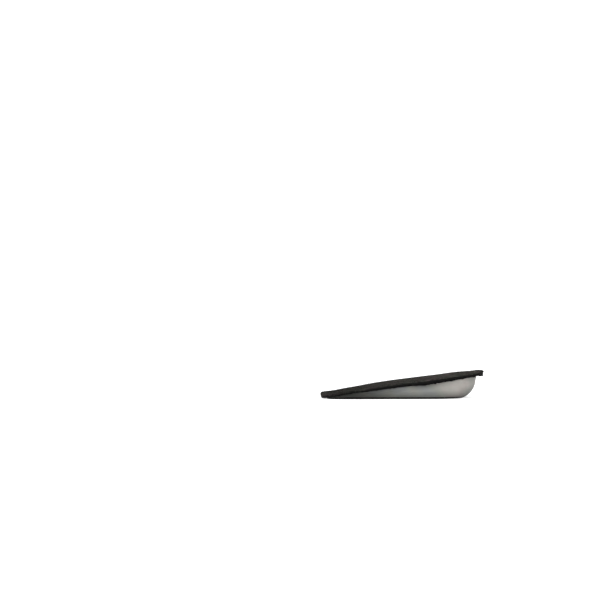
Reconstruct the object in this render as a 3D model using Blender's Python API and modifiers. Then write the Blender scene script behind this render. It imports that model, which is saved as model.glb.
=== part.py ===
"""Height-increasing insole: a half-length heel lift worn inside a shoe.

A grey gel wedge carries a thin black foam layer, and a charcoal fabric cover
lies over both. The toe end points to -X, the heel end to +X, +Z is up, and
the origin is on the ground under the middle of the insole. Units are metres.
"""

import math

import bmesh
import bpy
from mathutils import Vector

# Plan of the fabric cover, seen from above
LENGTH = 0.1095
WIDTH = 0.0683  # between the sides' lines, where they meet the toe end's line
HEEL_NARROWING = 0.10  # share of the width lost towards the heel end's line
HEEL_LENGTH = 0.044  # from the heel end to where its rounding starts
HEEL_ROUNDNESS = 2.5  # exponents of the two half superellipses: 2 is an ellipse
TOE_ROUNDNESS = 7.0

# The lift: the seat is the wedge's upper face, which carries the two layers
HEEL_RISE = 0.0150
HEEL_CUP_DEPTH = 0.0013

# The layers on the wedge
COVER_THICKNESS = 0.0010
COVER_EDGE_RADIUS = 0.0003
FOAM_THICKNESS = 0.0025  # at the heel end, where it isn't skived
LAYER_GAP = 0.0003

# How far the lower pieces stand back from the cover's edge
FOAM_SETBACK = 0.0001
WEDGE_HEEL_SETBACK = 0.0045
WEDGE_TOE_SETBACK = 0.0035
WEDGE_SIDE_SETBACK = 0.0025

# How far the wedge's wall turns in under it, where the wedge has its full rise
HEEL_UNDERCUT = 0.0145
SIDE_UNDERCUT = 0.0050
HEEL_TURN = 3.5  # how late the sides' undercut goes over into the heel's

# Height of the seat: share of the length from the toe end, share of the rise
SEAT_PROFILE = (
    (0.00, 0.018),
    (0.06, 0.068),
    (0.20, 0.256),
    (0.40, 0.447),
    (0.60, 0.614),
    (0.75, 0.746),
    (0.90, 0.922),
    (0.965, 0.980),
    (1.00, 0.945),
)

# Thickness of the skived foam: share of the length, share of the thickness
FOAM_PROFILE = (
    (0.00, 0.34),
    (0.12, 0.16),
    (0.20, 0.15),
    (0.36, 0.49),
    (0.60, 0.71),
    (0.80, 0.76),
    (0.94, 0.51),
    (1.00, 1.00),
)

# Depth of the heel cup: share of the length, share of the cup's depth
CUP_PROFILE = (
    (0.00, 0.00),
    (0.30, 0.05),
    (0.55, 0.60),
    (0.72, 1.00),
    (1.00, 1.00),
)

# Section of the wedge's wall: share of the local height, share of the undercut
WALL_SECTION = (
    (1.00, 0.00),
    (0.86, 0.03),
    (0.66, 0.06),
    (0.48, 0.12),
    (0.33, 0.21),
    (0.19, 0.34),
    (0.09, 0.50),
    (0.03, 0.72),
    (0.00, 1.00),
)

# Rings of a face, as shares of the way from its middle to its edge
FACE_RINGS = (0.22, 0.42, 0.60, 0.76, 0.89, 1.00)
HALF_SEGMENTS = 36

WIDEST_X = LENGTH / 2 - HEEL_LENGTH
TOE_LENGTH = LENGTH - HEEL_LENGTH


def profile(rows, share):
    """Smooth curve through the rows of a table, without overshoot."""
    share = min(max(share, rows[0][0]), rows[-1][0])
    steps = [b[0] - a[0] for a, b in zip(rows, rows[1:])]
    slopes = [(b[1] - a[1]) / h for a, b, h in zip(rows, rows[1:], steps)]
    tangents = [slopes[0]]
    for before, after in zip(slopes, slopes[1:]):
        level = before * after <= 0
        tangents.append(0.0 if level else 2 / (1 / before + 1 / after))
    tangents.append(slopes[-1])
    index = 0
    while index < len(steps) - 1 and share > rows[index + 1][0]:
        index += 1
    step = steps[index]
    t = (share - rows[index][0]) / step
    low, high = rows[index][1], rows[index + 1][1]
    return (
        (2 * t**3 - 3 * t**2 + 1) * low
        + (t**3 - 2 * t**2 + t) * step * tangents[index]
        + (3 * t**2 - 2 * t**3) * high
        + (t**3 - t**2) * step * tangents[index + 1]
    )


def length_share(x):
    """Share of the length from the toe end."""
    return (x + LENGTH / 2) / LENGTH


def side_share(x):
    """Share of the width between the sides' lines, which close in on the heel."""
    return 1 - HEEL_NARROWING * length_share(x)


def signed_power(value, power):
    return math.copysign(abs(value) ** power, value)


def outline(angle, heel_inset, toe_inset, side_inset):
    """Point of the plan outline and its outward normal, at an angle from +X."""
    c, s = math.cos(angle), math.sin(angle)
    heel = c >= 0
    n = HEEL_ROUNDNESS if heel else TOE_ROUNDNESS
    a = HEEL_LENGTH - heel_inset if heel else TOE_LENGTH - toe_inset
    b = WIDTH / 2 - side_inset
    reach = (abs(c) ** n + abs(s) ** n) ** (-1 / n)
    along, across = reach * c, reach * s
    x = WIDEST_X + a * along
    side = side_share(x)
    taper = HEEL_NARROWING / LENGTH / side * abs(across) ** n
    normal_x = signed_power(along, n - 1) / a + taper
    normal_y = signed_power(across, n - 1) / (b * side)
    return Vector((x, b * side * across, 0)), Vector((normal_x, normal_y, 0)).normalized()


def edge_share(x, y):
    """0 at the widest station's middle, 1 at the cover's edge."""
    heel = x >= WIDEST_X
    n = HEEL_ROUNDNESS if heel else TOE_ROUNDNESS
    a = HEEL_LENGTH if heel else TOE_LENGTH
    b = WIDTH / 2 * side_share(x)
    return min(1.0, (abs((x - WIDEST_X) / a) ** n + abs(y / b) ** n) ** (1 / n))


def seat_height(x, y):
    share = length_share(x)
    rise = HEEL_RISE * profile(SEAT_PROFILE, share)
    cup = HEEL_CUP_DEPTH * profile(CUP_PROFILE, share) * (1 - edge_share(x, y) ** 2) ** 2
    return rise - cup


def seat_normal(x, y):
    d = LENGTH / 1000
    slope_x = (seat_height(x + d, y) - seat_height(x - d, y)) / (2 * d)
    slope_y = (seat_height(x, y + d) - seat_height(x, y - d)) / (2 * d)
    return Vector((-slope_x, -slope_y, 1)).normalized()


def foam_thickness(x):
    return FOAM_THICKNESS * profile(FOAM_PROFILE, length_share(x))


def on_seat(point, clearance):
    """The point of the seat under a plan point, raised along the seat's normal."""
    seat = Vector((point.x, point.y, seat_height(point.x, point.y)))
    return seat + seat_normal(point.x, point.y) * clearance(point.x)


def half_angles():
    return [math.pi * i / HALF_SEGMENTS for i in range(HALF_SEGMENTS + 1)]


def face_rings(edge, place):
    """Rings of points from the middle of a face out to its edge, on the +Y half."""
    middle = Vector((WIDEST_X, 0, 0))
    return [[place(middle.lerp(point, share)) for point in edge] for share in FACE_RINGS]


def add_fan(mesh, centre, ring):
    """Triangles from a centre point to a half ring."""
    for a, b in zip(ring, ring[1:]):
        mesh.faces.new((centre, a, b))


def add_strip(mesh, inner, outer):
    """Quads between two half rings."""
    for a, b, c, d in zip(inner, outer, outer[1:], inner[1:]):
        mesh.faces.new((a, b, c, d))


def add_rings(mesh, rings):
    verts = [[mesh.verts.new(point) for point in ring] for ring in rings]
    for inner, outer in zip(verts, verts[1:]):
        add_strip(mesh, inner, outer)
    return verts


def new_object(name, mesh, material, collection):
    data = bpy.data.meshes.new(name)
    for vert in mesh.verts:
        if abs(vert.co.y) < 1e-7:
            vert.co.y = 0.0
    mesh.to_mesh(data)
    mesh.free()
    data.materials.append(material)
    data.shade_smooth()
    data.set_sharp_from_angle(angle=math.radians(40))
    obj = bpy.data.objects.new(name, data)
    collection.objects.link(obj)
    mirror = obj.modifiers.new("Both sides", "MIRROR")
    mirror.use_axis = (False, True, False)
    mirror.merge_threshold = 0.00001
    return obj


def new_material(name, colour, roughness):
    material = bpy.data.materials.new(name)
    material.use_nodes = True
    shader = material.node_tree.nodes["Principled BSDF"]
    shader.inputs["Base Color"].default_value = (*colour, 1)
    shader.inputs["Roughness"].default_value = roughness
    shader.inputs["Metallic"].default_value = 0.0
    return material


def layer(name, setback, clearance, material, collection):
    """The open +Y half of a layer's underside, ready for its thickness."""
    edge = [outline(angle, 0, 0, 0) for angle in half_angles()]
    edge = [point - normal * setback for point, normal in edge]
    mesh = bmesh.new()
    rings = add_rings(mesh, face_rings(edge, lambda point: on_seat(point, clearance)))
    centre = mesh.verts.new(on_seat(Vector((WIDEST_X, 0, 0)), clearance))
    add_fan(mesh, centre, rings[0])
    return new_object(name, mesh, material, collection)


def add_thickness(obj, thickness):
    solidify = obj.modifiers.new("Thickness", "SOLIDIFY")
    solidify.thickness = thickness
    solidify.offset = 1
    solidify.use_even_offset = False
    return solidify


def make_foam_layer(material, collection):
    obj = layer("foam_layer", FOAM_SETBACK, lambda x: LAYER_GAP, material, collection)
    skive = obj.vertex_groups.new(name="Skive")
    for vert in obj.data.vertices:
        share = foam_thickness(vert.co.x) / FOAM_THICKNESS
        skive.add([vert.index], share, "REPLACE")
    solidify = add_thickness(obj, FOAM_THICKNESS)
    solidify.vertex_group = skive.name
    return obj


def make_fabric_cover(material, collection):
    obj = layer(
        "fabric_cover",
        0,
        lambda x: LAYER_GAP + foam_thickness(x) + LAYER_GAP,
        material,
        collection,
    )
    add_thickness(obj, COVER_THICKNESS)
    bevel = obj.modifiers.new("Edge", "BEVEL")
    bevel.width = COVER_EDGE_RADIUS
    bevel.segments = 2
    bevel.limit_method = "ANGLE"
    bevel.angle_limit = math.radians(50)
    return obj


def make_gel_wedge(material, collection):
    """A loft from the seat's rings, down the wall and in under it to the flat base."""
    edge = [
        outline(angle, WEDGE_HEEL_SETBACK, WEDGE_TOE_SETBACK, WEDGE_SIDE_SETBACK)
        for angle in half_angles()
    ]
    rings = face_rings(
        [point for point, normal in edge],
        lambda point: Vector((point.x, point.y, seat_height(point.x, point.y))),
    )
    for height_share, undercut_share in WALL_SECTION[1:]:
        ring = []
        for point, normal in edge:
            height = seat_height(point.x, point.y)
            heelward = max(normal.x, 0) ** HEEL_TURN
            undercut = SIDE_UNDERCUT + (HEEL_UNDERCUT - SIDE_UNDERCUT) * heelward
            inset = undercut * height / HEEL_RISE * undercut_share
            ring.append(point - normal * inset + Vector((0, 0, height * height_share)))
        rings.append(ring)
    mesh = bmesh.new()
    verts = add_rings(mesh, rings)
    top = mesh.verts.new((WIDEST_X, 0, seat_height(WIDEST_X, 0)))
    add_fan(mesh, top, verts[0])
    base = mesh.verts.new((WIDEST_X, 0, 0))
    add_fan(mesh, base, verts[-1][::-1])
    return new_object("gel_wedge", mesh, material, collection)


def main():
    for obj in list(bpy.data.objects):
        bpy.data.objects.remove(obj, do_unlink=True)
    collection = bpy.data.collections.new("Height-increasing insole")
    bpy.context.scene.collection.children.link(collection)

    gel = new_material("Grey gel", (0.27, 0.27, 0.26), 0.45)
    foam = new_material("Black foam", (0.008, 0.008, 0.008), 0.9)
    fabric = new_material("Charcoal fabric", (0.04, 0.036, 0.033), 1.0)

    make_gel_wedge(gel, collection)
    make_foam_layer(foam, collection)
    make_fabric_cover(fabric, collection)


main()
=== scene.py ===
"""Height-increasing insole: the finished gel wedge, foam layer and fabric cover.

The toe end points to -X, the heel end to +X and +Z is up. Units are metres.
"""

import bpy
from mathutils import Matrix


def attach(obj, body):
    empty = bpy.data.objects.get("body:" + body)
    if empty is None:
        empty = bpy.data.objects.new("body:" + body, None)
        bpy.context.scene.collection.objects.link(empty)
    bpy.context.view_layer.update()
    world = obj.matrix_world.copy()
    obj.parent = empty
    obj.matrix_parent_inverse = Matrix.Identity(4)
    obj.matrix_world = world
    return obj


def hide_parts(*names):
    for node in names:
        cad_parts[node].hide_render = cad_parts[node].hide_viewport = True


bl_info = {
    "name": "Height-Increasing Insole",
    "version": (1, 0, 0),
    "blender": (4, 5, 0),
    "location": "View3D > Sidebar > Insole",
    "description": "Builds a gel heel lift with a foam layer and a napped fabric cover",
    "category": "Object",
}

import math

import bmesh
import bpy
from bpy.props import FloatProperty, FloatVectorProperty, IntProperty, PointerProperty
from mathutils import Vector, noise

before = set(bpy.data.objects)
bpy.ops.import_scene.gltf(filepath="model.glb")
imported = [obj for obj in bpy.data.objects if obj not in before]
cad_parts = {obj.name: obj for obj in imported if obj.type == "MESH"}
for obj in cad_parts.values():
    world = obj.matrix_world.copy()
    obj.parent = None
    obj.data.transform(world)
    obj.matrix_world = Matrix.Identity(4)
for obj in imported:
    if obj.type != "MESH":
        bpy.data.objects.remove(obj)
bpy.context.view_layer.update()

# Height of the seat: share of the length from the toe end, share of the rise
SEAT_PROFILE = (
    (0.00, 0.018),
    (0.06, 0.068),
    (0.20, 0.256),
    (0.40, 0.447),
    (0.60, 0.614),
    (0.75, 0.746),
    (0.90, 0.922),
    (0.965, 0.980),
    (1.00, 0.945),
)

# Depth of the heel cup: share of the length, share of the cup's depth
CUP_PROFILE = (
    (0.00, 0.00),
    (0.30, 0.05),
    (0.55, 0.60),
    (0.72, 1.00),
    (1.00, 1.00),
)

# Thickness of the skived foam: share of the length, share of the thickness
FOAM_PROFILE = (
    (0.00, 0.34),
    (0.12, 0.16),
    (0.20, 0.15),
    (0.36, 0.49),
    (0.60, 0.71),
    (0.80, 0.76),
    (0.94, 0.51),
    (1.00, 1.00),
)

# Section of the wedge's wall: share of the local height, share of the undercut
WALL_SECTION = (
    (1.00, 0.035),
    (0.97, 0.010),
    (0.93, 0.000),
    (0.86, 0.025),
    (0.66, 0.060),
    (0.48, 0.120),
    (0.33, 0.210),
    (0.19, 0.340),
    (0.09, 0.500),
    (0.03, 0.720),
    (0.00, 1.000),
)

# Sag and lift of the layers' near edge: place along X, half width, height
EDGE_WAVES = (
    (-0.0435, 0.0050, 0.00030),
    (-0.0415, 0.0028, 0.00042),
    (-0.0335, 0.0030, 0.00038),
    (-0.0210, 0.0060, -0.00010),
    (0.0010, 0.0042, 0.00058),
    (0.0150, 0.0045, -0.00042),
    (0.0290, 0.0050, 0.00014),
)

# Where those waves fade in: share of the width from the middle, share of the plan
WAVE_NEAR = (0.10, 0.25)
WAVE_RIM = (0.84, 1.00)

# Share of the waves that the cover follows
WAVE_AT_COVER = 0.3

# Painted contact shade, a dark line at the foot of the wedge's wall: its height, its share of a thin
# edge, the share of its height over which it fades, and how softly it ends
FOOT_SHADE_LINE = 0.00150
FOOT_SHADE_SHARE = 0.48
FOOT_SHADE_FADE = 0.2
FOOT_SHADE_SOFTNESS = 0.3

# Painted shade: height from which the wedge's wall darkens towards its foot, and over what share of it
SHADED_BELOW = 0.0055
SHADE_FADE = 0.72

# Strength of each shade of the gel: turned-in wall, foot line, low wall, underside
WALL_LIGHT = 1.03
TURNED_SHADE = 0.36
LINE_SHADE = 0.98
LOW_SHADE = 0.24
UNDER_SHADE = 0.85

# Shade of the wall that faces down: slope where it starts and is full, its strength
# at the sides, and what the heel adds
DOWN_SHADE = (0.12, 0.74, 0.55, 0.37)

# Shade of the heel's end wall: strength, how narrow it is
END_SHADE = (0.46, 4)

# Shade of the foam's lower side, and how fast it fades up its edge
FOAM_SHADE = 0.8
FOAM_SHADE_FADE = 2.2

# Share of the length over which the layers' end becomes upright
END_CUT = (0.96, 0.99)

# Edges of the layers as shares of the plan
FOAM_RIM = 0.97
COVER_RIM = 0.90
FIBRE_RIM = 0.96

# How far the cut edges wander, as a share of the plan, and their features a metre
RAGGEDNESS = 0.0035
FOAM_WANDER = (420, 420, 300)
COVER_WANDER = (520, 520, 400)

# Height of the tears in the foam's lower edge, and their features a metre
TORN_EDGE = 0.00050
TEARS = 640
TEAR_LAYER = 7.0

# Unevenness of the moulded wall: features a metre, height, where it is full
DIMPLES = (95, 0.00016, 0.003)

# How much the layers' rings of points close up towards their edge
RING_SPACING = 0.8

# Distance within which a layer's points are welded
WELD = 0.000002

# Shortest and longest fibre as shares of the fibre length
FIBRE_SCALES = (0.45, 1.15)

# Steepest slope that still counts as the cover's face
FACE_SLOPE = 0.6

# Shade under the layers' sag: place along X, half width, strength down the wall, more
# at its top, share of the wall's height from which that grows
SAG_SHADE = (0.0130, 0.0090, 0.10, 0.50, 0.55)

# Tone of the gel: its local height in metres, its brightness
GEL_TONES = (
    (0.0000, 0.030),
    (0.0036, 0.034),
    (0.0056, 0.068),
    (0.0074, 0.142),
    (0.0090, 0.190),
    (0.0106, 0.214),
    (0.0124, 0.308),
    (0.0138, 0.296),
    (0.0150, 0.196),
)

# Lean of the cloth's charcoal: place on the drifting noise, tint
CLOTH_TINTS = (
    (0.36, (0.96, 1.03, 0.95)),
    (0.45, (0.99, 1.01, 0.93)),
    (0.53, (1.05, 0.98, 0.93)),
    (0.61, (1.08, 0.95, 0.99)),
)

# Lean of the gel's grey: place on the drifting noise, tint
GEL_TINTS = (
    (0.38, (0.95, 1.00, 1.02)),
    (0.48, (0.98, 1.02, 0.96)),
    (0.60, (1.04, 0.99, 0.96)),
)

# Where the drifting noise of the hues starts, and the size of its patches
HUE_START = (1.03, 1.93, 2.42)
CLOTH_PATCH = 0.0075
GEL_PATCH = 0.017

# Share of the length at which the long nap stops short of the heel end
NAP_END = 0.991

# Tone of the nap along the length, darker or lighter: share of the length, change of its tone
NAP_TONES = (
    (0.00, 0.01),
    (0.10, -0.06),
    (0.30, -0.025),
    (0.46, 0.00),
    (0.62, 0.01),
    (0.78, 0.06),
    (0.88, -0.01),
    (0.94, 0.05),
    (1.00, -0.05),
)

# Where the near edge is frayed: place along X, half width, how much more it is torn
FRAYED = (0.0240, 0.0050, 2.0)


def profile(rows, share):
    """Smooth curve through the rows of a table, without overshoot."""
    share = min(max(share, rows[0][0]), rows[-1][0])
    steps = [b[0] - a[0] for a, b in zip(rows, rows[1:])]
    slopes = [(b[1] - a[1]) / h for a, b, h in zip(rows, rows[1:], steps)]
    tangents = [slopes[0]]
    for before, after in zip(slopes, slopes[1:]):
        level = before * after <= 0
        tangents.append(0.0 if level else 2 / (1 / before + 1 / after))
    tangents.append(slopes[-1])
    index = 0
    while index < len(steps) - 1 and share > rows[index + 1][0]:
        index += 1
    step = steps[index]
    t = (share - rows[index][0]) / step
    low, high = rows[index][1], rows[index + 1][1]
    return (
        (2 * t**3 - 3 * t**2 + 1) * low
        + (t**3 - 2 * t**2 + t) * step * tangents[index]
        + (3 * t**2 - 2 * t**3) * high
        + (t**3 - t**2) * step * tangents[index + 1]
    )


def number_setting(name, default, description, **more):
    return FloatProperty(name=name, default=default, description=description, **more)


def length_setting(name, default, description):
    return number_setting(name, default, description, unit="LENGTH")


def share_setting(name, default, description):
    return number_setting(name, default, description, subtype="FACTOR")


def count_setting(name, default, description):
    return IntProperty(name=name, default=default, description=description)


def colour_setting(name, default, description):
    return FloatVectorProperty(
        name=name, default=default, description=description, subtype="COLOR", size=3
    )


class InsoleSizes(bpy.types.PropertyGroup):
    length: length_setting("Length", 0.1095, "Length of the fabric cover in plan")
    width: length_setting("Width", 0.0683, "Width at the toe end, between the sides' lines")
    heel_narrowing: share_setting("Heel Narrowing", 0.10, "Share of the width lost at the heel end")
    heel_length: length_setting("Heel Length", 0.044, "Length of the rounded heel end")
    heel_roundness: number_setting(
        "Heel Roundness", 2.5, "Exponent of the heel's outline, where 2 is an ellipse"
    )
    toe_roundness: number_setting("Toe Roundness", 7.0, "Exponent of the toe end's outline")
    heel_rise: length_setting("Heel Rise", 0.0150, "Height of the seat at the heel end")
    cup_depth: length_setting("Cup Depth", 0.0013, "Depth of the dish under the heel")
    layer_gap: length_setting("Layer Gap", 0.0003, "Clearance of the solid model's layers")
    glue_line: length_setting("Glue Line", 0.00004, "What is left of that gap between finished layers")
    foam_thickness: length_setting("Foam Thickness", 0.0025, "Thickness of the unskived foam")
    cover_thickness: length_setting("Cover Thickness", 0.0010, "Thickness of the fabric cover")
    foam_setback: length_setting("Foam Setback", 0.0001, "From the cover's edge to the foam's")
    heel_setback: length_setting("Wedge Heel Setback", 0.0045, "From the cover's heel end to the wedge's")
    toe_setback: length_setting("Wedge Toe Setback", 0.0035, "From the cover's toe end to the wedge's")
    side_setback: length_setting("Wedge Side Setback", 0.0025, "From the cover's sides to the wedge's")
    heel_undercut: length_setting("Heel Undercut", 0.0145, "How far the heel's wall turns in")
    side_undercut: length_setting("Side Undercut", 0.0050, "How far the side walls turn in")
    heel_turn: number_setting("Heel Turn", 3.5, "How late the sides' undercut becomes the heel's")


class GelFinish(bpy.types.PropertyGroup):
    warmth: colour_setting("Tint", (1.0, 0.985, 0.95), "Tint of the grey gel")
    roughness: share_setting("Roughness", 0.42, "Roughness of the moulded surface")
    cloud: share_setting("Cloudiness", 0.16, "How much the tone drifts inside the gel")


class FoamFinish(bpy.types.PropertyGroup):
    colour: colour_setting("Colour", (0.0022, 0.0022, 0.0021), "Colour of the foam")
    cell_size: length_setting("Cell Size", 0.00032, "Size of the foam's cells")


class FabricFinish(bpy.types.PropertyGroup):
    dark: colour_setting("Dark Nap", (0.0075, 0.0076, 0.0074), "Colour in the hollows of the nap")
    light: colour_setting("Light Nap", (0.0540, 0.0525, 0.0500), "Colour on the tips of the nap")
    fibre_length: length_setting("Fibre Length", 0.0008, "Length of the loose fibres on the face")
    fibre_width: length_setting("Fibre Width", 0.000055, "Width of a loose fibre at its root")
    face_fibres: count_setting("Face Fibres", 2200000, "Fibres a square metre of the face")
    edge_fibres: count_setting("Edge Fibres", 12000000, "Fibres a square metre of the cut edge")
    seed: count_setting("Seed", 7, "Seed of the fibres' places")


class StageSettings(bpy.types.PropertyGroup):
    elevation: number_setting(
        "Elevation", math.radians(2.5), "Height of the camera above the insole", subtype="ANGLE"
    )
    distance: length_setting("Distance", 2.5, "Distance of the camera")
    frame_width: length_setting("Frame Width", 0.4056, "Width of the picture at the insole")
    aim_x: length_setting("Aim X", -0.0690, "Place along X at the picture's centre")
    aim_z: length_setting("Aim Z", 0.0658, "Height at the picture's centre")
    floor_colour: colour_setting("Floor", (0.66, 0.66, 0.66), "Colour of the floor")
    floor_glow: number_setting("Floor Glow", 0.60, "Light that the floor gives off")
    sky: number_setting("Surround Light", 1.25, "Strength of the white surround")


def sizes():
    return bpy.context.scene.insole_sizes


# Form of the insole

def widest_x():
    return sizes().length / 2 - sizes().heel_length


def toe_length():
    return sizes().length - sizes().heel_length


def length_share(x):
    """Share of the length from the toe end."""
    return (x + sizes().length / 2) / sizes().length


def side_share(x):
    """Share of the width between the sides' lines, which close in on the heel."""
    return 1 - sizes().heel_narrowing * length_share(x)


def signed_power(value, power):
    return math.copysign(abs(value) ** power, value)


def outline(angle, heel_inset, toe_inset, side_inset):
    """Point of the plan outline and its outward normal, at an angle from +X."""
    c, s = math.cos(angle), math.sin(angle)
    heel = c >= 0
    n = sizes().heel_roundness if heel else sizes().toe_roundness
    a = sizes().heel_length - heel_inset if heel else toe_length() - toe_inset
    b = sizes().width / 2 - side_inset
    reach = (abs(c) ** n + abs(s) ** n) ** (-1 / n)
    along, across = reach * c, reach * s
    x = widest_x() + a * along
    side = side_share(x)
    taper = sizes().heel_narrowing / sizes().length / side * abs(across) ** n
    normal_x = signed_power(along, n - 1) / a + taper
    normal_y = signed_power(across, n - 1) / (b * side)
    return Vector((x, b * side * across, 0)), Vector((normal_x, normal_y, 0)).normalized()


def edge_share(x, y):
    """0 at the widest station's middle, 1 at the cover's edge."""
    heel = x >= widest_x()
    n = sizes().heel_roundness if heel else sizes().toe_roundness
    a = sizes().heel_length if heel else toe_length()
    b = sizes().width / 2 * side_share(x)
    return (abs((x - widest_x()) / a) ** n + abs(y / b) ** n) ** (1 / n)


def seat_height(x, y):
    share = length_share(x)
    rise = sizes().heel_rise * profile(SEAT_PROFILE, share)
    middle = (1 - min(1.0, edge_share(x, y)) ** 2) ** 2
    return rise - sizes().cup_depth * profile(CUP_PROFILE, share) * middle


def bell(distance, half_width):
    return math.exp(-((distance / half_width) ** 2))


def fade(value, start, end):
    """0 up to the start, 1 from the end on."""
    return min(max((value - start) / (end - start), 0.0), 1.0)


def wobble(point, grain):
    """Noise at a point, with so many features a metre along each axis."""
    return noise.noise(Vector([place * fine for place, fine in zip(point, grain)]))


def pull_out(point, share):
    """Moves a point of a layer's edge out by a share of its place in the plan."""
    point.x += (point.x - widest_x()) * share
    point.y += point.y * share


def edge_wave(x, y):
    """How far the layers' near edge lifts or sags, fading out over the wedge."""
    near = fade(-y / sizes().width, *WAVE_NEAR)
    rim = fade(edge_share(x, y), *WAVE_RIM)
    lift = sum(height * bell(x - place, width) for place, width, height in EDGE_WAVES)
    return lift * near * rim**1.5


def upright_end(x, y, z):
    """How far a layer leans out over the heel end, which is cut straight down."""
    share = length_share(x)
    if share < END_CUT[0]:
        return 0.0
    step = 0.001
    slope = (seat_height(x, y) - seat_height(x - step, y)) / step
    return -slope * max(z - seat_height(x, y), 0.0) * fade(share, *END_CUT)


# Node helpers

class Nodes:
    """Adds nodes to a tree and links or sets their inputs."""

    def __init__(self, tree):
        self.tree = tree

    def put(self, socket, value):
        if isinstance(value, bpy.types.NodeSocket):
            self.tree.links.new(value, socket)
        else:
            socket.default_value = value

    def fill(self, node, values):
        for key, value in values.items():
            self.put(node.inputs[key], value)

    def add(self, kind, inputs=None, **settings):
        node = self.tree.nodes.new(kind)
        for name, value in settings.items():
            setattr(node, name, value)
        self.fill(node, inputs or {})
        return node

    def math(self, operation, *values):
        node = self.add("ShaderNodeMath", operation=operation)
        for socket, value in zip(node.inputs, values):
            self.put(socket, value)
        return node.outputs[0]

    def plus(self, first, second):
        return self.math("ADD", first, second)

    def minus(self, first, second):
        return self.math("SUBTRACT", first, second)

    def times(self, first, second):
        return self.math("MULTIPLY", first, second)

    def over(self, first, second):
        return self.math("DIVIDE", first, second)

    def darkened(self, tone, shade, strength):
        """Tone less a strength of the shade, which goes from 0 to 1."""
        return self.times(tone, self.math("MULTIPLY_ADD", shade, -strength, 1.0))

    def attribute(self, name):
        return self.add("ShaderNodeAttribute", attribute_name=name).outputs["Fac"]

    def place(self):
        return self.add("GeometryNodeInputPosition").outputs[0]

    def random(self, low, high, seed, kind="FLOAT"):
        """Random value for each point or instance."""
        node = self.add("FunctionNodeRandomValue", data_type=kind)
        first, result = (0, 0) if kind == "FLOAT_VECTOR" else (2, 1)
        node.inputs[first].default_value = low
        node.inputs[first + 1].default_value = high
        self.put(node.inputs["Seed"], seed)
        return node.outputs[result]

    def give_out(self, geometry, material):
        real = self.add("GeometryNodeRealizeInstances", {"Geometry": geometry})
        values = {"Geometry": real.outputs[0], "Material": material}
        dressed = self.add("GeometryNodeSetMaterial", values)
        self.add("NodeGroupOutput", {0: dressed.outputs[0]})

    def curve(self, rows, factor):
        """Float Curve through the smooth profile of a table."""
        node = self.add("ShaderNodeFloatCurve", {"Value": factor})
        points = node.mapping.curves[0].points
        steps = 64
        points[0].location = (0, profile(rows, 0))
        points[1].location = (1, profile(rows, 1))
        for i in range(1, steps):
            points.new(i / steps, profile(rows, i / steps))
        for point in points:
            point.handle_type = "AUTO"
        node.mapping.update()
        return node.outputs[0]

    def scaled(self, vector, factor):
        node = self.add("ShaderNodeVectorMath", operation="SCALE")
        self.put(node.inputs[0], vector)
        self.put(node.inputs["Scale"], factor)
        return node.outputs[0]

    def vector(self, operation, first, second):
        node = self.add("ShaderNodeVectorMath", operation=operation)
        self.put(node.inputs[0], first)
        self.put(node.inputs[1], second)
        return node.outputs[0]

    def bump(self, height, strength, distance, over=None, invert=False):
        """Normals of a relief, over those of a coarser or finer one."""
        values = {"Height": height, "Strength": strength, "Distance": distance}
        node = self.add("ShaderNodeBump", values, invert=invert)
        if over:
            self.put(node.inputs["Normal"], over)
        return node.outputs[0]


def new_node_group(name, sockets):
    """Geometry node tree with named inputs."""
    tree = bpy.data.node_groups.new(name, "GeometryNodeTree")
    face = tree.interface
    face.new_socket("Geometry", in_out="INPUT", socket_type="NodeSocketGeometry")
    face.new_socket("Geometry", in_out="OUTPUT", socket_type="NodeSocketGeometry")
    for label, kind, value in sockets:
        socket = face.new_socket(label, in_out="INPUT", socket_type="NodeSocket" + kind)
        if value is not None:
            socket.default_value = value
    return tree, Nodes(tree)


def apply_tree(obj, tree, values):
    """Adds the tree to an object with its inputs set by their identifiers."""
    modifier = obj.modifiers.new(tree.name, "NODES")
    modifier.node_group = tree
    for item in tree.interface.items_tree:
        if item.in_out == "INPUT" and item.name in values:
            modifier[item.identifier] = values[item.name]


def baked(obj):
    """Turns the evaluated object into a plain mesh with no modifiers."""
    bpy.context.view_layer.update()
    graph = bpy.context.evaluated_depsgraph_get()
    mesh = bpy.data.meshes.new_from_object(obj.evaluated_get(graph))
    obj.modifiers.clear()
    old = obj.data
    obj.data = mesh
    bpy.data.meshes.remove(old)
    obj.data.name = obj.name


def new_piece(name, data):
    obj = bpy.data.objects.new(name, data)
    collection = bpy.data.collections.get("Insole")
    if collection is None:
        collection = bpy.data.collections.new("Insole")
        bpy.context.scene.collection.children.link(collection)
    collection.objects.link(obj)
    return obj


def shade(mesh):
    for polygon in mesh.polygons:
        polygon.use_smooth = True


# Materials

def new_material(name, gloss=0.0):
    material = bpy.data.materials.get(name)
    if material:
        bpy.data.materials.remove(material)
    material = bpy.data.materials.new(name)
    material.use_nodes = True
    shader = material.node_tree.nodes["Principled BSDF"]
    shader.inputs["Specular IOR Level"].default_value = gloss
    return material, Nodes(material.node_tree), shader


def object_coordinates(nodes):
    return nodes.add("ShaderNodeTexCoord").outputs["Object"]


def noise_at(nodes, place, size, detail, roughness):
    """Noise whose features are about size across."""
    node = nodes.add(
        "ShaderNodeTexNoise",
        {"Vector": place, "Scale": 1 / size, "Detail": detail, "Roughness": roughness},
    )
    return node.outputs["Fac"]


def ramp(nodes, value, stops):
    node = nodes.add("ShaderNodeValToRGB", {"Fac": value})
    elements = node.color_ramp.elements
    elements[0].position, elements[0].color = stops[0][0], (*stops[0][1], 1)
    elements[1].position, elements[1].color = stops[-1][0], (*stops[-1][1], 1)
    for place, colour in stops[1:-1]:
        element = elements.new(place)
        element.color = (*colour, 1)
    return node.outputs["Color"]


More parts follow.
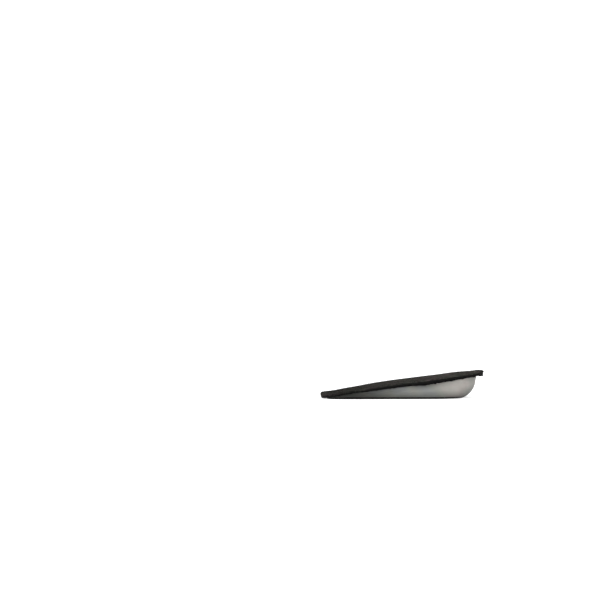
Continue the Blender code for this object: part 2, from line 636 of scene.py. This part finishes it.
def gel_material():
    """Satin grey gel: dark where it is thin over the foam, light where it is deep, with painted shade low
    on its wall, where it faces down and at the heel's end.
    """
    finish = bpy.context.scene.insole_gel
    material, nodes, shader = new_material("Grey gel", gloss=0.10)
    place = object_coordinates(nodes)
    depth = nodes.attribute("depth")
    up = nodes.add("ShaderNodeSeparateXYZ", {0: place}).outputs[2]
    # Painted contact shade along the foot of the wall
    line = nodes.math("MINIMUM", nodes.times(depth, FOOT_SHADE_SHARE), FOOT_SHADE_LINE)
    low = nodes.over(nodes.minus(line, up), nodes.times(line, FOOT_SHADE_FADE))
    low = nodes.math("SMOOTH_MIN", nodes.math("MAXIMUM", low, 0.0), 1.0, FOOT_SHADE_SOFTNESS)
    full = GEL_TONES[-1][0]
    tint = finish.warmth
    stops = [(height / full, tuple(tone * part for part in tint)) for height, tone in GEL_TONES]
    tone = ramp(nodes, nodes.over(depth, full), stops)
    cloud = noise_at(nodes, place, size=0.011, detail=3, roughness=0.55)
    streak = nodes.add("ShaderNodeMapping", {"Vector": place, "Scale": (0.35, 1, 1.6)})
    drift = noise_at(nodes, streak.outputs[0], size=0.006, detail=2, roughness=0.5)
    both = nodes.plus(cloud, drift)
    factor = nodes.math("MULTIPLY_ADD", nodes.minus(both, 1), finish.cloud * 2, 1)
    # Painted shade where the wall turns in
    turned = nodes.math("MULTIPLY_ADD", nodes.attribute("turned_in_shade"), -TURNED_SHADE, WALL_LIGHT)
    dark = nodes.darkened(nodes.times(factor, turned), low, LINE_SHADE)
    # Painted shade low on the wall
    down = nodes.over(nodes.minus(SHADED_BELOW, up), SHADED_BELOW * SHADE_FADE)
    down = nodes.math("MINIMUM", nodes.math("MAXIMUM", down, 0.0), 1.0)
    dark = nodes.darkened(dark, down, LOW_SHADE)
    # Painted shade where the wall faces down, on the heel's end wall and under the layers' sag
    dark = nodes.darkened(dark, nodes.attribute("painted_shade"), UNDER_SHADE)
    colour = hue_drift(nodes, place, nodes.scaled(tone, dark), GEL_TINTS, GEL_PATCH)
    grain = noise_at(nodes, place, size=0.0006, detail=2, roughness=0.6)
    fine = nodes.bump(grain, strength=0.35, distance=0.00006)
    swell = noise_at(nodes, place, size=0.0042, detail=1, roughness=0.5)
    values = {
        "Base Color": colour,
        "Roughness": nodes.math("MULTIPLY_ADD", grain, 0.16, finish.roughness - 0.08),
        "Normal": nodes.bump(swell, strength=0.5, distance=0.00018, over=fine),
        "Subsurface Weight": 0.15,
        "Subsurface Radius": (1.0, 0.98, 0.93),
        "Subsurface Scale": 0.0010,
    }
    nodes.fill(shader, values)
    return material


def foam_material():
    """Matte black foam with fine open cells, and painted shade on its lower side."""
    finish = bpy.context.scene.insole_foam
    material, nodes, shader = new_material("Black foam", gloss=0.03)
    place = object_coordinates(nodes)
    cells = nodes.add(
        "ShaderNodeTexVoronoi",
        {"Vector": place, "Scale": 1 / finish.cell_size, "Randomness": 1.0},
    ).outputs["Distance"]
    patch = noise_at(nodes, place, size=0.003, detail=3, roughness=0.6)
    tone_shift = nodes.math("MULTIPLY_ADD", patch, 0.9, nodes.times(cells, 0.9))
    pale = tuple(min(1.0, value * 3.4) for value in finish.colour)
    colour = ramp(nodes, tone_shift, [(0.35, tuple(finish.colour)), (1.05, pale)])
    # Painted shade on the foam's lower side
    dark = nodes.darkened(1.0, nodes.attribute("painted_shade"), FOAM_SHADE)
    values = {
        "Base Color": nodes.scaled(colour, dark),
        "Roughness": nodes.math("MULTIPLY_ADD", patch, 0.2, 0.8),
        "Normal": nodes.bump(cells, strength=0.8, distance=0.00012, invert=True),
    }
    nodes.fill(shader, values)
    return material


def hue_drift(nodes, place, colour, tints, size):
    """Colour that leans to one tint and another from patch to patch."""
    start = nodes.vector("ADD", place, HUE_START)
    drift = noise_at(nodes, start, size=size, detail=2, roughness=0.55)
    return nodes.vector("MULTIPLY", colour, ramp(nodes, drift, tints))


def fabric_material():
    """Charcoal brushed knit: mottled nap."""
    finish = bpy.context.scene.insole_fabric
    material, nodes, shader = new_material("Charcoal fabric")
    place = object_coordinates(nodes)
    patches = noise_at(nodes, place, size=0.0085, detail=3, roughness=0.6)
    tufts = noise_at(nodes, place, size=0.0013, detail=3, roughness=0.65)
    lay = nodes.add("ShaderNodeMapping", {"Vector": place, "Scale": (0.35, 1.0, 1.0)})
    threads = noise_at(nodes, lay.outputs[0], size=0.00028, detail=2, roughness=0.7)
    # The cloth's tone follows the nap's relief: its own mottling, with painted shade in the hollows
    height = nodes.plus(nodes.times(tufts, 0.6), nodes.times(threads, 0.4))
    tone = nodes.plus(nodes.times(height, 0.72), nodes.times(patches, 0.28))
    edge = nodes.attribute("cut_edge")
    tone = nodes.minus(tone, nodes.times(edge, 0.05))
    tone = nodes.plus(tone, nodes.attribute("nap_change"))
    dark, light = tuple(finish.dark), tuple(finish.light)
    middle = tuple(d * 0.45 + l * 0.55 for d, l in zip(dark, light))
    colour = ramp(nodes, tone, [(0.38, dark), (0.52, middle), (0.64, light)])
    colour = hue_drift(nodes, place, colour, CLOTH_TINTS, CLOTH_PATCH)
    rough = nodes.math("MULTIPLY_ADD", tufts, 0.15, 0.85)
    coarse = nodes.bump(tufts, strength=0.7, distance=0.00022)
    fine = nodes.bump(threads, strength=0.8, distance=0.0001, over=coarse)
    nodes.fill(shader, {"Base Color": colour, "Roughness": rough, "Normal": fine})
    return material


def fibre_material():
    """Single fibres of the nap, each with its own tone."""
    finish = bpy.context.scene.insole_fabric
    material, nodes, shader = new_material("Charcoal fibre")
    tone = nodes.attribute("fibre_tone")
    dark = tuple(finish.dark)
    light = tuple(value * 1.3 for value in finish.light)
    place = object_coordinates(nodes)
    fleck = noise_at(nodes, place, size=0.0009, detail=1, roughness=0.5)
    mixed = nodes.plus(nodes.times(tone, 0.75), nodes.times(fleck, 0.25))
    patches = noise_at(nodes, place, size=0.0024, detail=2, roughness=0.6)
    mixed = nodes.plus(mixed, nodes.math("MULTIPLY_ADD", patches, 0.9, -0.45))
    mixed = nodes.plus(mixed, nodes.times(nodes.attribute("nap_change"), 2.0))
    colour = ramp(nodes, mixed, [(0.25, dark), (0.95, light)])
    colour = hue_drift(nodes, place, colour, CLOTH_TINTS, CLOTH_PATCH)
    nodes.fill(shader, {"Base Color": colour, "Roughness": 0.9})
    return material


# Geometry node trees

SIZE_SOCKETS = (
    ("Length", "length"),
    ("Width", "width"),
    ("Heel Narrowing", "heel_narrowing"),
    ("Heel Length", "heel_length"),
    ("Heel Roundness", "heel_roundness"),
    ("Toe Roundness", "toe_roundness"),
    ("Heel Rise", "heel_rise"),
    ("Cup Depth", "cup_depth"),
)


def laid_layer_tree():
    """A flat layer cut to the plan outline and laid on the seat, with its thickness."""
    tree, nodes = new_node_group(
        "Laid Layer",
        [
            ("Segments", "Int", 480),
            ("Rings", "Int", 44),
            *((name, "Float", 0.0) for name, key in SIZE_SOCKETS),
            ("Setback", "Float", 0.0),
            ("Clearance", "Float", 0.0),
            ("Foam Below", "Float", 0.0),
            ("Thickness", "Float", 0.001),
            ("Skive", "Float", 0.0),
            ("Ripple Height", "Float", 0.0),
            ("Ripple Size", "Float", 0.006),
            ("Material", "Material", None),
        ],
    )
    given = nodes.add("NodeGroupInput").outputs
    grid = nodes.add(
        "GeometryNodeMeshGrid",
        {
            "Size X": 1.0,
            "Size Y": 1.0,
            "Vertices X": nodes.plus(given["Segments"], 1),
            "Vertices Y": nodes.plus(given["Rings"], 1),
        },
    )
    flat = nodes.add("ShaderNodeSeparateXYZ", {0: nodes.place()})
    turn = nodes.times(nodes.plus(flat.outputs[0], 0.5), -2 * math.pi)
    ring = nodes.math("POWER", nodes.plus(flat.outputs[1], 0.5), RING_SPACING)
    c, s = nodes.math("COSINE", turn), nodes.math("SINE", turn)
    heel = nodes.math("GREATER_THAN", c, 0.0)
    toe_span = nodes.minus(given["Length"], given["Heel Length"])

    def heel_or_toe(at_heel, at_toe):
        return nodes.math("MULTIPLY_ADD", heel, nodes.minus(at_heel, at_toe), at_toe)

    power = heel_or_toe(given["Heel Roundness"], given["Toe Roundness"])
    both = nodes.plus(
        nodes.math("POWER", nodes.math("ABSOLUTE", c), power),
        nodes.math("POWER", nodes.math("ABSOLUTE", s), power),
    )
    out = nodes.times(ring, nodes.math("POWER", both, nodes.over(-1.0, power)))
    reach = nodes.minus(heel_or_toe(given["Heel Length"], toe_span), given["Setback"])
    half = nodes.minus(nodes.over(given["Width"], 2.0), given["Setback"])
    middle = nodes.minus(nodes.over(given["Length"], 2.0), given["Heel Length"])
    x = nodes.math("MULTIPLY_ADD", nodes.times(c, reach), out, middle)
    share = nodes.plus(nodes.over(x, given["Length"]), 0.5)
    side = nodes.minus(1.0, nodes.times(given["Heel Narrowing"], share))
    y = nodes.times(nodes.times(s, half), nodes.times(out, side))
    rise = nodes.times(nodes.curve(SEAT_PROFILE, share), given["Heel Rise"])
    dish = nodes.math("POWER", nodes.minus(1.0, nodes.times(ring, ring)), 2.0)
    cup = nodes.times(nodes.times(nodes.curve(CUP_PROFILE, share), dish), given["Cup Depth"])
    seat = nodes.add("ShaderNodeCombineXYZ", {0: x, 1: y, 2: nodes.minus(rise, cup)})
    on_seat = nodes.add(
        "GeometryNodeSetPosition", {"Geometry": grid.outputs["Mesh"], "Position": seat.outputs[0]}
    )
    whole = nodes.add("GeometryNodeMergeByDistance", {"Geometry": on_seat.outputs[0], "Distance": WELD})

    place = nodes.place()
    along = nodes.add("ShaderNodeSeparateXYZ", {0: place})
    share = nodes.plus(nodes.over(along.outputs[0], given["Length"]), 0.5)
    foam = nodes.curve(FOAM_PROFILE, share)
    ripple = nodes.add(
        "ShaderNodeTexNoise",
        {"Vector": place, "Scale": nodes.over(1.0, given["Ripple Size"]), "Detail": 2.0},
    )
    ripple = nodes.times(nodes.minus(ripple.outputs["Fac"], 0.5), given["Ripple Height"])
    lift = nodes.math("MULTIPLY_ADD", foam, given["Foam Below"], given["Clearance"])
    lift = nodes.plus(lift, ripple)
    normal = nodes.add("GeometryNodeInputNormal").outputs[0]
    raised = nodes.add(
        "GeometryNodeSetPosition",
        {"Geometry": whole.outputs[0], "Offset": nodes.scaled(normal, lift)},
    )
    skived = nodes.plus(1.0, nodes.times(given["Skive"], nodes.minus(foam, 1.0)))
    walls = nodes.add(
        "GeometryNodeExtrudeMesh",
        {
            "Mesh": raised.outputs[0],
            "Offset Scale": nodes.times(given["Thickness"], skived),
            "Individual": False,
        },
    )
    under = nodes.add("GeometryNodeFlipFaces", {"Mesh": raised.outputs[0]})
    joined = nodes.add("GeometryNodeJoinGeometry")
    nodes.tree.links.new(walls.outputs[0], joined.inputs[0])
    nodes.tree.links.new(under.outputs[0], joined.inputs[0])
    closed = nodes.add("GeometryNodeMergeByDistance", {"Geometry": joined.outputs[0], "Distance": WELD})
    nodes.give_out(closed.outputs[0], given["Material"])
    return tree


def fibre_tree():
    """Short tapering fibres scattered on the faces of a carrier."""
    tree, nodes = new_node_group(
        "Loose Fibres",
        [
            ("Density", "Float", 1000.0),
            ("Fibre Length", "Float", 0.001),
            ("Fibre Width", "Float", 0.00005),
            ("Spread", "Float", 0.6),
            ("Lean", "Vector", (0.0, 0.0, 0.0)),
            ("Bend", "Float", 0.3),
            ("Seed", "Int", 1),
            ("Material", "Material", None),
        ],
    )
    given = nodes.add("NodeGroupInput").outputs
    points = nodes.add(
        "GeometryNodeDistributePointsOnFaces",
        {"Mesh": given["Geometry"], "Density": given["Density"], "Seed": given["Seed"]},
    )
    blade = nodes.add(
        "GeometryNodeMeshCone",
        {
            "Vertices": 3,
            "Side Segments": 2,
            "Radius Top": 0.0,
            "Radius Bottom": nodes.over(given["Fibre Width"], 2.0),
            "Depth": given["Fibre Length"],
        },
        fill_type="NONE",
    )
    along = nodes.add("ShaderNodeSeparateXYZ", {0: nodes.place()})
    up = nodes.over(along.outputs[2], given["Fibre Length"])
    side = nodes.times(nodes.times(up, up), nodes.times(given["Bend"], given["Fibre Length"]))
    bent = nodes.add(
        "GeometryNodeSetPosition",
        {
            "Geometry": blade.outputs["Mesh"],
            "Offset": nodes.add("ShaderNodeCombineXYZ", {0: side}).outputs[0],
        },
    )
    scatter = nodes.random((-1, -1, -1), (1, 1, 1), given["Seed"], "FLOAT_VECTOR")
    heading = nodes.vector("ADD", points.outputs["Normal"], nodes.scaled(scatter, given["Spread"]))
    heading = nodes.vector("ADD", heading, given["Lean"])
    aligned = nodes.add("FunctionNodeAlignRotationToVector", {"Vector": heading}, axis="Z")
    spin = nodes.random(0.0, 2 * math.pi, nodes.plus(given["Seed"], 3))
    roll = nodes.add("FunctionNodeAxisAngleToRotation", {"Axis": (0, 0, 1), "Angle": spin})
    turned = nodes.add(
        "FunctionNodeRotateRotation",
        {"Rotation": aligned.outputs[0], "Rotate By": roll.outputs[0]},
        rotation_space="LOCAL",
    )
    grown = nodes.random(*FIBRE_SCALES, nodes.plus(given["Seed"], 5))
    planted = nodes.add(
        "GeometryNodeInstanceOnPoints",
        {
            "Points": points.outputs["Points"],
            "Instance": bent.outputs[0],
            "Rotation": turned.outputs[0],
            "Scale": grown,
        },
    )
    tone = nodes.random(0.0, 1.0, nodes.plus(given["Seed"], 9))
    toned = nodes.add(
        "GeometryNodeStoreNamedAttribute",
        {"Geometry": planted.outputs[0], "Name": "fibre_tone", "Value": tone},
        data_type="FLOAT",
        domain="INSTANCE",
    )
    nodes.give_out(toned.outputs[0], given["Material"])
    return tree


def layer_values(material, setback, clearance, foam_below, thickness, skive):
    return {
        **{name: getattr(sizes(), key) for name, key in SIZE_SOCKETS},
        "Setback": setback,
        "Clearance": clearance,
        "Foam Below": foam_below,
        "Thickness": thickness,
        "Skive": skive,
        "Material": material,
    }


def laid_layer(name, values, edge_radius):
    tree = bpy.data.node_groups.get("Laid Layer") or laid_layer_tree()
    obj = new_piece(name, bpy.data.meshes.new(name))
    apply_tree(obj, tree, values)
    bevel = obj.modifiers.new("Edge", "BEVEL")
    bevel.width = edge_radius
    bevel.segments = 3
    bevel.limit_method = "ANGLE"
    bevel.angle_limit = math.radians(50)
    baked(obj)
    return obj


def plan_area():
    """Flat area of the cover's cut."""
    steps = 720
    points = [outline(2 * math.pi * i / steps, 0, 0, 0)[0] for i in range(steps)]
    pairs = zip(points, points[1:] + points[:1])
    return sum(a.x * b.y - b.x * a.y for a, b in pairs) / 2


def add_attribute(mesh, name, values):
    attribute = mesh.attributes.new(name, "FLOAT", "POINT")
    attribute.data.foreach_set("value", values)


def add_nap_change(mesh):
    """How much darker or lighter the nap lies at each point."""
    tone_shift = [profile(NAP_TONES, length_share(vert.co.x)) for vert in mesh.vertices]
    add_attribute(mesh, "nap_change", tone_shift)


# Operators

class INSOLE_OT_stage(bpy.types.Operator):
    """Makes the floor, the soft light and the camera"""

    bl_idname = "insole.stage"
    bl_label = "Stage"

    def execute(self, context):
        settings = context.scene.insole_stage
        self.make_floor(settings)
        self.make_light(context, settings)
        self.make_camera(context, settings)
        return {"FINISHED"}

    def make_floor(self, settings):
        """A round floor that curves up into a backdrop all the way round."""
        reach, radius, top, steps = 3.0, 2.5, 5.0, 12
        section = [(0.0, 0.0), (1.2, 0.0), (reach, 0.0)]
        for i in range(1, steps + 1):
            turn = math.pi / 2 * i / steps
            section.append((reach + radius * math.sin(turn), radius * (1 - math.cos(turn))))
        section.append((reach + radius, top))
        mesh = bmesh.new()
        verts = [mesh.verts.new((x, 0, z)) for x, z in section]
        edges = [mesh.edges.new(pair) for pair in zip(verts, verts[1:])]
        bmesh.ops.spin(
            mesh,
            geom=verts + edges,
            cent=(0, 0, 0),
            axis=(0, 0, 1),
            angle=2 * math.pi,
            steps=96,
            use_merge=True,
        )
        bmesh.ops.remove_doubles(mesh, verts=mesh.verts, dist=0.0001)
        bmesh.ops.recalc_face_normals(mesh, faces=mesh.faces)
        data = bpy.data.meshes.new("floor")
        mesh.to_mesh(data)
        mesh.free()
        shade(data)
        floor = new_piece("floor", data)
        material, nodes, shader = new_material("White floor")
        values = {
            "Base Color": (*settings.floor_colour, 1),
            "Roughness": 0.9,
            "Emission Color": (1, 1, 1, 1),
            "Emission Strength": settings.floor_glow,
        }
        nodes.fill(shader, values)
        data.materials.append(material)

    def make_light(self, context, settings):
        world = bpy.data.worlds.new("White surround")
        world.use_nodes = True
        shader = world.node_tree.nodes["Background"]
        shader.inputs["Color"].default_value = (1, 1, 1, 1)
        shader.inputs["Strength"].default_value = settings.sky
        context.scene.world = world
        self.area_light("key", place=(-1.1, -1.3, 1.5), size=1.4, power=24)

    def area_light(self, name, place, size, power):
        data = bpy.data.lights.new(name, "AREA")
        data.shape = "DISK"
        data.size = size
        data.energy = power
        light = bpy.data.objects.new(name, data)
        bpy.context.scene.collection.objects.link(light)
        light.location = place
        light.rotation_euler = (-Vector(place)).to_track_quat("-Z", "Y").to_euler()

    def make_camera(self, context, settings):
        data = bpy.data.cameras.new("camera")
        camera = bpy.data.objects.new("camera", data)
        context.scene.collection.objects.link(camera)
        middle = 0.008
        height = middle + settings.distance * math.tan(settings.elevation)
        camera.location = (settings.aim_x, -settings.distance, height)
        aim = Vector((settings.aim_x, 0, settings.aim_z)) - camera.location
        camera.rotation_euler = aim.to_track_quat("-Z", "Y").to_euler()
        data.sensor_width = 36
        data.lens = data.sensor_width * aim.length / settings.frame_width
        data.clip_start, data.clip_end = 0.01, 50
        context.scene.camera = camera
        context.scene.view_settings.view_transform = "Standard"


class INSOLE_OT_gel_wedge(bpy.types.Operator):
    """Makes the gel wedge as a smooth moulding with a turned-in wall"""

    bl_idname = "insole.gel_wedge"
    bl_label = "Gel Wedge"

    segments = 288
    face_rings = 16
    wall_rings = 34
    base_rings = 8

    def execute(self, context):
        mesh = self.loft()
        data = bpy.data.meshes.new("gel_body")
        mesh.to_mesh(data)
        mesh.free()
        shade(data)
        data.materials.append(gel_material())
        self.add_depth(data)
        gel = new_piece("gel_body", data)
        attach(gel, "root")
        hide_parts("gel_wedge")
        return {"FINISHED"}

    def top(self):
        return sizes().layer_gap - sizes().glue_line

    def loft(self):
        size = sizes()
        mesh = bmesh.new()
        rows = [(1 - height, reach) for height, reach in WALL_SECTION]
        columns = []
        for i in range(self.segments):
            point, normal = outline(
                2 * math.pi * i / self.segments, size.heel_setback, size.toe_setback, size.side_setback
            )
            columns.append(self.column(mesh, point, normal, rows))
        middle = Vector((widest_x(), 0, 0))
        top = mesh.verts.new((middle.x, 0, seat_height(middle.x, 0) + self.top()))
        base = mesh.verts.new((middle.x, 0, 0))
        for a, b in zip(columns, columns[1:] + columns[:1]):
            mesh.faces.new((top, a[0], b[0]))
            for k in range(len(a) - 1):
                mesh.faces.new((a[k], a[k + 1], b[k + 1], b[k]))
            mesh.faces.new((base, b[-1], a[-1]))
        return mesh

    def column(self, mesh, point, normal, rows):
        """Verts from the middle of the top, down the wall and in under it."""
        size = sizes()
        middle = Vector((widest_x(), 0, 0))
        height = seat_height(point.x, point.y) + self.top()
        heelward = max(normal.x, 0) ** size.heel_turn
        undercut = size.side_undercut + (size.heel_undercut - size.side_undercut) * heelward
        undercut *= seat_height(point.x, point.y) / size.heel_rise
        wall = []
        for k in range(self.wall_rings + 1):
            down = 0.5 - 0.5 * math.cos(math.pi * k / self.wall_rings)
            reach = profile(rows, down) * undercut
            wall.append(point - normal * reach + Vector((0, 0, height * (1 - down))))
        rim, foot = wall[0], wall[-1]
        face = []
        for k in range(1, self.face_rings):
            spot = middle.lerp(Vector((rim.x, rim.y, 0)), k / self.face_rings)
            face.append(Vector((spot.x, spot.y, seat_height(spot.x, spot.y) + self.top())))
        sole = [foot.lerp(middle, k / self.base_rings) for k in range(1, self.base_rings)]
        points = face + [self.dimpled(p) for p in wall] + sole
        return [mesh.verts.new(p) for p in points]

    def dimpled(self, point):
        """Slight unevenness of the moulded wall, none at its top and foot."""
        fine, height, full = DIMPLES
        lump = noise.noise(point * fine) * height * fade(point.z, 0, full)
        return Vector((point.x, point.y + math.copysign(lump, point.y), point.z))

    def add_depth(self, data):
        # Depth for the gel's tone, and painted shade: low on the turned-in wall, where the wall faces
        # down, on the heel's end wall and under the layers' sag
        depth, turned, under = [], [], []
        for vert in data.vertices:
            height = seat_height(vert.co.x, vert.co.y)
            share = fade(vert.co.z, 0, height)
            depth.append(height)
            turned.append((1 - share) ** 1.4)
            heelward = max(vert.normal.x / max(vert.normal.xy.length, 0.0001), 0.0)
            start, full, at_side, at_heel = DOWN_SHADE
            facing_down = fade(-vert.normal.z, start, full)
            facing_down *= at_side + at_heel * heelward**2
            strength, narrow = END_SHADE
            limb = strength * heelward**narrow * (1 - facing_down)
            under.append(facing_down + limb + self.tucked(vert.co, share))
        add_attribute(data, "depth", depth)
        add_attribute(data, "turned_in_shade", turned)
        add_attribute(data, "painted_shade", under)

    def tucked(self, point, share):
        """Shade on the wall where the layers' near edge sags over it."""
        if point.y > 0:
            return 0.0
        place, half_width, low, high, start = SAG_SHADE
        return bell(point.x - place, half_width) * (low + high * fade(share, start, 1) ** 1.5)


class INSOLE_OT_foam_layer(bpy.types.Operator):
    """Makes the thin foam layer between the wedge and the cover"""

    bl_idname = "insole.foam_layer"
    bl_label = "Foam Layer"

    def execute(self, context):
        size = sizes()
        values = layer_values(
            foam_material(),
            setback=size.foam_setback,
            clearance=size.layer_gap,
            foam_below=0.0,
            thickness=size.foam_thickness,
            skive=1.0,
        )
        foam = laid_layer("foam_sheet", values, edge_radius=0.00012)
        extra = size.layer_gap - size.glue_line
        under = []
        for vert in foam.data.vertices:
            co = vert.co
            thick = size.foam_thickness * profile(FOAM_PROFILE, length_share(co.x))
            floor = seat_height(co.x, co.y) + size.layer_gap
            upper = fade(co.z, floor, floor + thick)
            follows = 1 - (1 - WAVE_AT_COVER) * upper
            co.z += edge_wave(co.x, co.y) * follows + extra * upper
            if edge_share(co.x, co.y) > FOAM_RIM:
                pull_out(co, wobble(co, FOAM_WANDER) * RAGGEDNESS)
                torn = noise.noise(Vector((co.x * TEARS, co.y * TEARS, TEAR_LAYER)))
                place, half_width, more = FRAYED
                frayed = bell(co.x - place, half_width) * more if co.y < 0 else 0
                co.z += torn * TORN_EDGE * (1 + frayed) * (1 - upper)
            co.x -= upright_end(co.x, co.y, co.z)
            # Painted shade on the foam's lower side
            under.append(max(1 - upper * FOAM_SHADE_FADE, 0.0))
        add_attribute(foam.data, "painted_shade", under)
        shade(foam.data)
        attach(foam, "root")
        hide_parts("foam_layer")
        return {"FINISHED"}


class INSOLE_OT_fabric_cover(bpy.types.Operator):
    """Makes the napped fabric cover, laid on the foam and dished under the heel"""

    bl_idname = "insole.fabric_cover"
    bl_label = "Fabric Cover"

    def execute(self, context):
        size = sizes()
        values = layer_values(
            fabric_material(),
            setback=0.0,
            clearance=2 * size.layer_gap,
            foam_below=size.foam_thickness,
            thickness=size.cover_thickness,
            skive=0.0,
        )
        values["Ripple Height"] = 0.00018
        values["Ripple Size"] = 0.0065
        cover = laid_layer("cover_sheet", values, edge_radius=0.00022)
        edge = []
        for vert in cover.data.vertices:
            co = vert.co
            rim = fade(edge_share(co.x, co.y), COVER_RIM, 1)
            co.z += edge_wave(co.x, co.y) * WAVE_AT_COVER
            pull_out(co, rim**3 * wobble(co, COVER_WANDER) * RAGGEDNESS)
            co.x -= upright_end(co.x, co.y, co.z)
            edge.append(rim**6)
        add_attribute(cover.data, "cut_edge", edge)
        add_nap_change(cover.data)
        shade(cover.data)
        fibres = self.fibres(context, cover)
        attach(cover, "root")
        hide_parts("fabric_cover")
        plan_area()
        return {"FINISHED"}

    def fibres(self, context, cover):
        finish = context.scene.insole_fabric
        material = fibre_material()
        face = self.carrier(
            cover,
            "nap_fibres",
            lambda normal, co: normal.z > FACE_SLOPE and length_share(co.x) < NAP_END,
        )
        values = {
            "Density": float(finish.face_fibres),
            "Fibre Length": finish.fibre_length,
            "Spread": 1.1,
            "Lean": (0.7, 0.0, -0.3),
            "Bend": 0.5,
        }
        self.grow(face, finish, material, values)
        rim = self.carrier(
            cover,
            "edge_fibres",
            lambda normal, co: normal.z <= FACE_SLOPE and edge_share(co.x, co.y) > FIBRE_RIM,
        )
        values = {
            "Density": float(finish.edge_fibres),
            "Fibre Length": finish.fibre_length * 0.7,
            "Spread": 0.6,
            "Lean": (0.0, 0.0, -2.0),
            "Bend": 0.4,
        }
        self.grow(rim, finish, material, values)
        return [face, rim]

    def grow(self, obj, finish, material, values):
        tree = bpy.data.node_groups.get("Loose Fibres") or fibre_tree()
        common = {"Fibre Width": finish.fibre_width, "Seed": finish.seed, "Material": material}
        apply_tree(obj, tree, {**values, **common})
        baked(obj)
        add_nap_change(obj.data)
        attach(obj, "root")

    def carrier(self, cover, name, wanted):
        """Copy of the cover that keeps only the faces that grow fibres."""
        mesh = bmesh.new()
        mesh.from_mesh(cover.data)
        mesh.faces.ensure_lookup_table()
        gone = [face for face in mesh.faces if not wanted(face.normal, face.calc_center_median())]
        bmesh.ops.delete(mesh, geom=gone, context="FACES")
        data = bpy.data.meshes.new(name)
        mesh.to_mesh(data)
        mesh.free()
        data.materials.clear()
        return new_piece(name, data)


class INSOLE_PT_panel(bpy.types.Panel):
    """Sizes, finishes and steps of the insole"""

    bl_idname = "INSOLE_PT_panel"
    bl_label = "Height-Increasing Insole"
    bl_space_type = "VIEW_3D"
    bl_region_type = "UI"
    bl_category = "Insole"

    def draw(self, context):
        layout = self.layout
        for name, title in SETTINGS:
            box = layout.box()
            box.label(text=title)
            group = getattr(context.scene, name)
            for key in group.bl_rna.properties.keys():
                if key not in ("rna_type", "name"):
                    box.prop(group, key)
        for operator in OPERATORS:
            layout.operator(operator.bl_idname)


SETTINGS = (
    ("insole_sizes", "Sizes"),
    ("insole_gel", "Gel"),
    ("insole_foam", "Foam"),
    ("insole_fabric", "Fabric"),
    ("insole_stage", "Stage"),
)
GROUPS = (InsoleSizes, GelFinish, FoamFinish, FabricFinish, StageSettings)
OPERATORS = (
    INSOLE_OT_stage,
    INSOLE_OT_gel_wedge,
    INSOLE_OT_foam_layer,
    INSOLE_OT_fabric_cover,
)


def register():
    for item in (*GROUPS, *OPERATORS, INSOLE_PT_panel):
        bpy.utils.register_class(item)
    for (name, title), group in zip(SETTINGS, GROUPS):
        setattr(bpy.types.Scene, name, PointerProperty(type=group, name=title))


def unregister():
    for name, title in SETTINGS:
        delattr(bpy.types.Scene, name)
    for item in reversed((*GROUPS, *OPERATORS, INSOLE_PT_panel)):
        bpy.utils.unregister_class(item)


def main():
    register()
    bpy.ops.insole.stage()
    bpy.ops.insole.gel_wedge()
    bpy.ops.insole.foam_layer()
    bpy.ops.insole.fabric_cover()


if __name__ == "__main__":
    main()
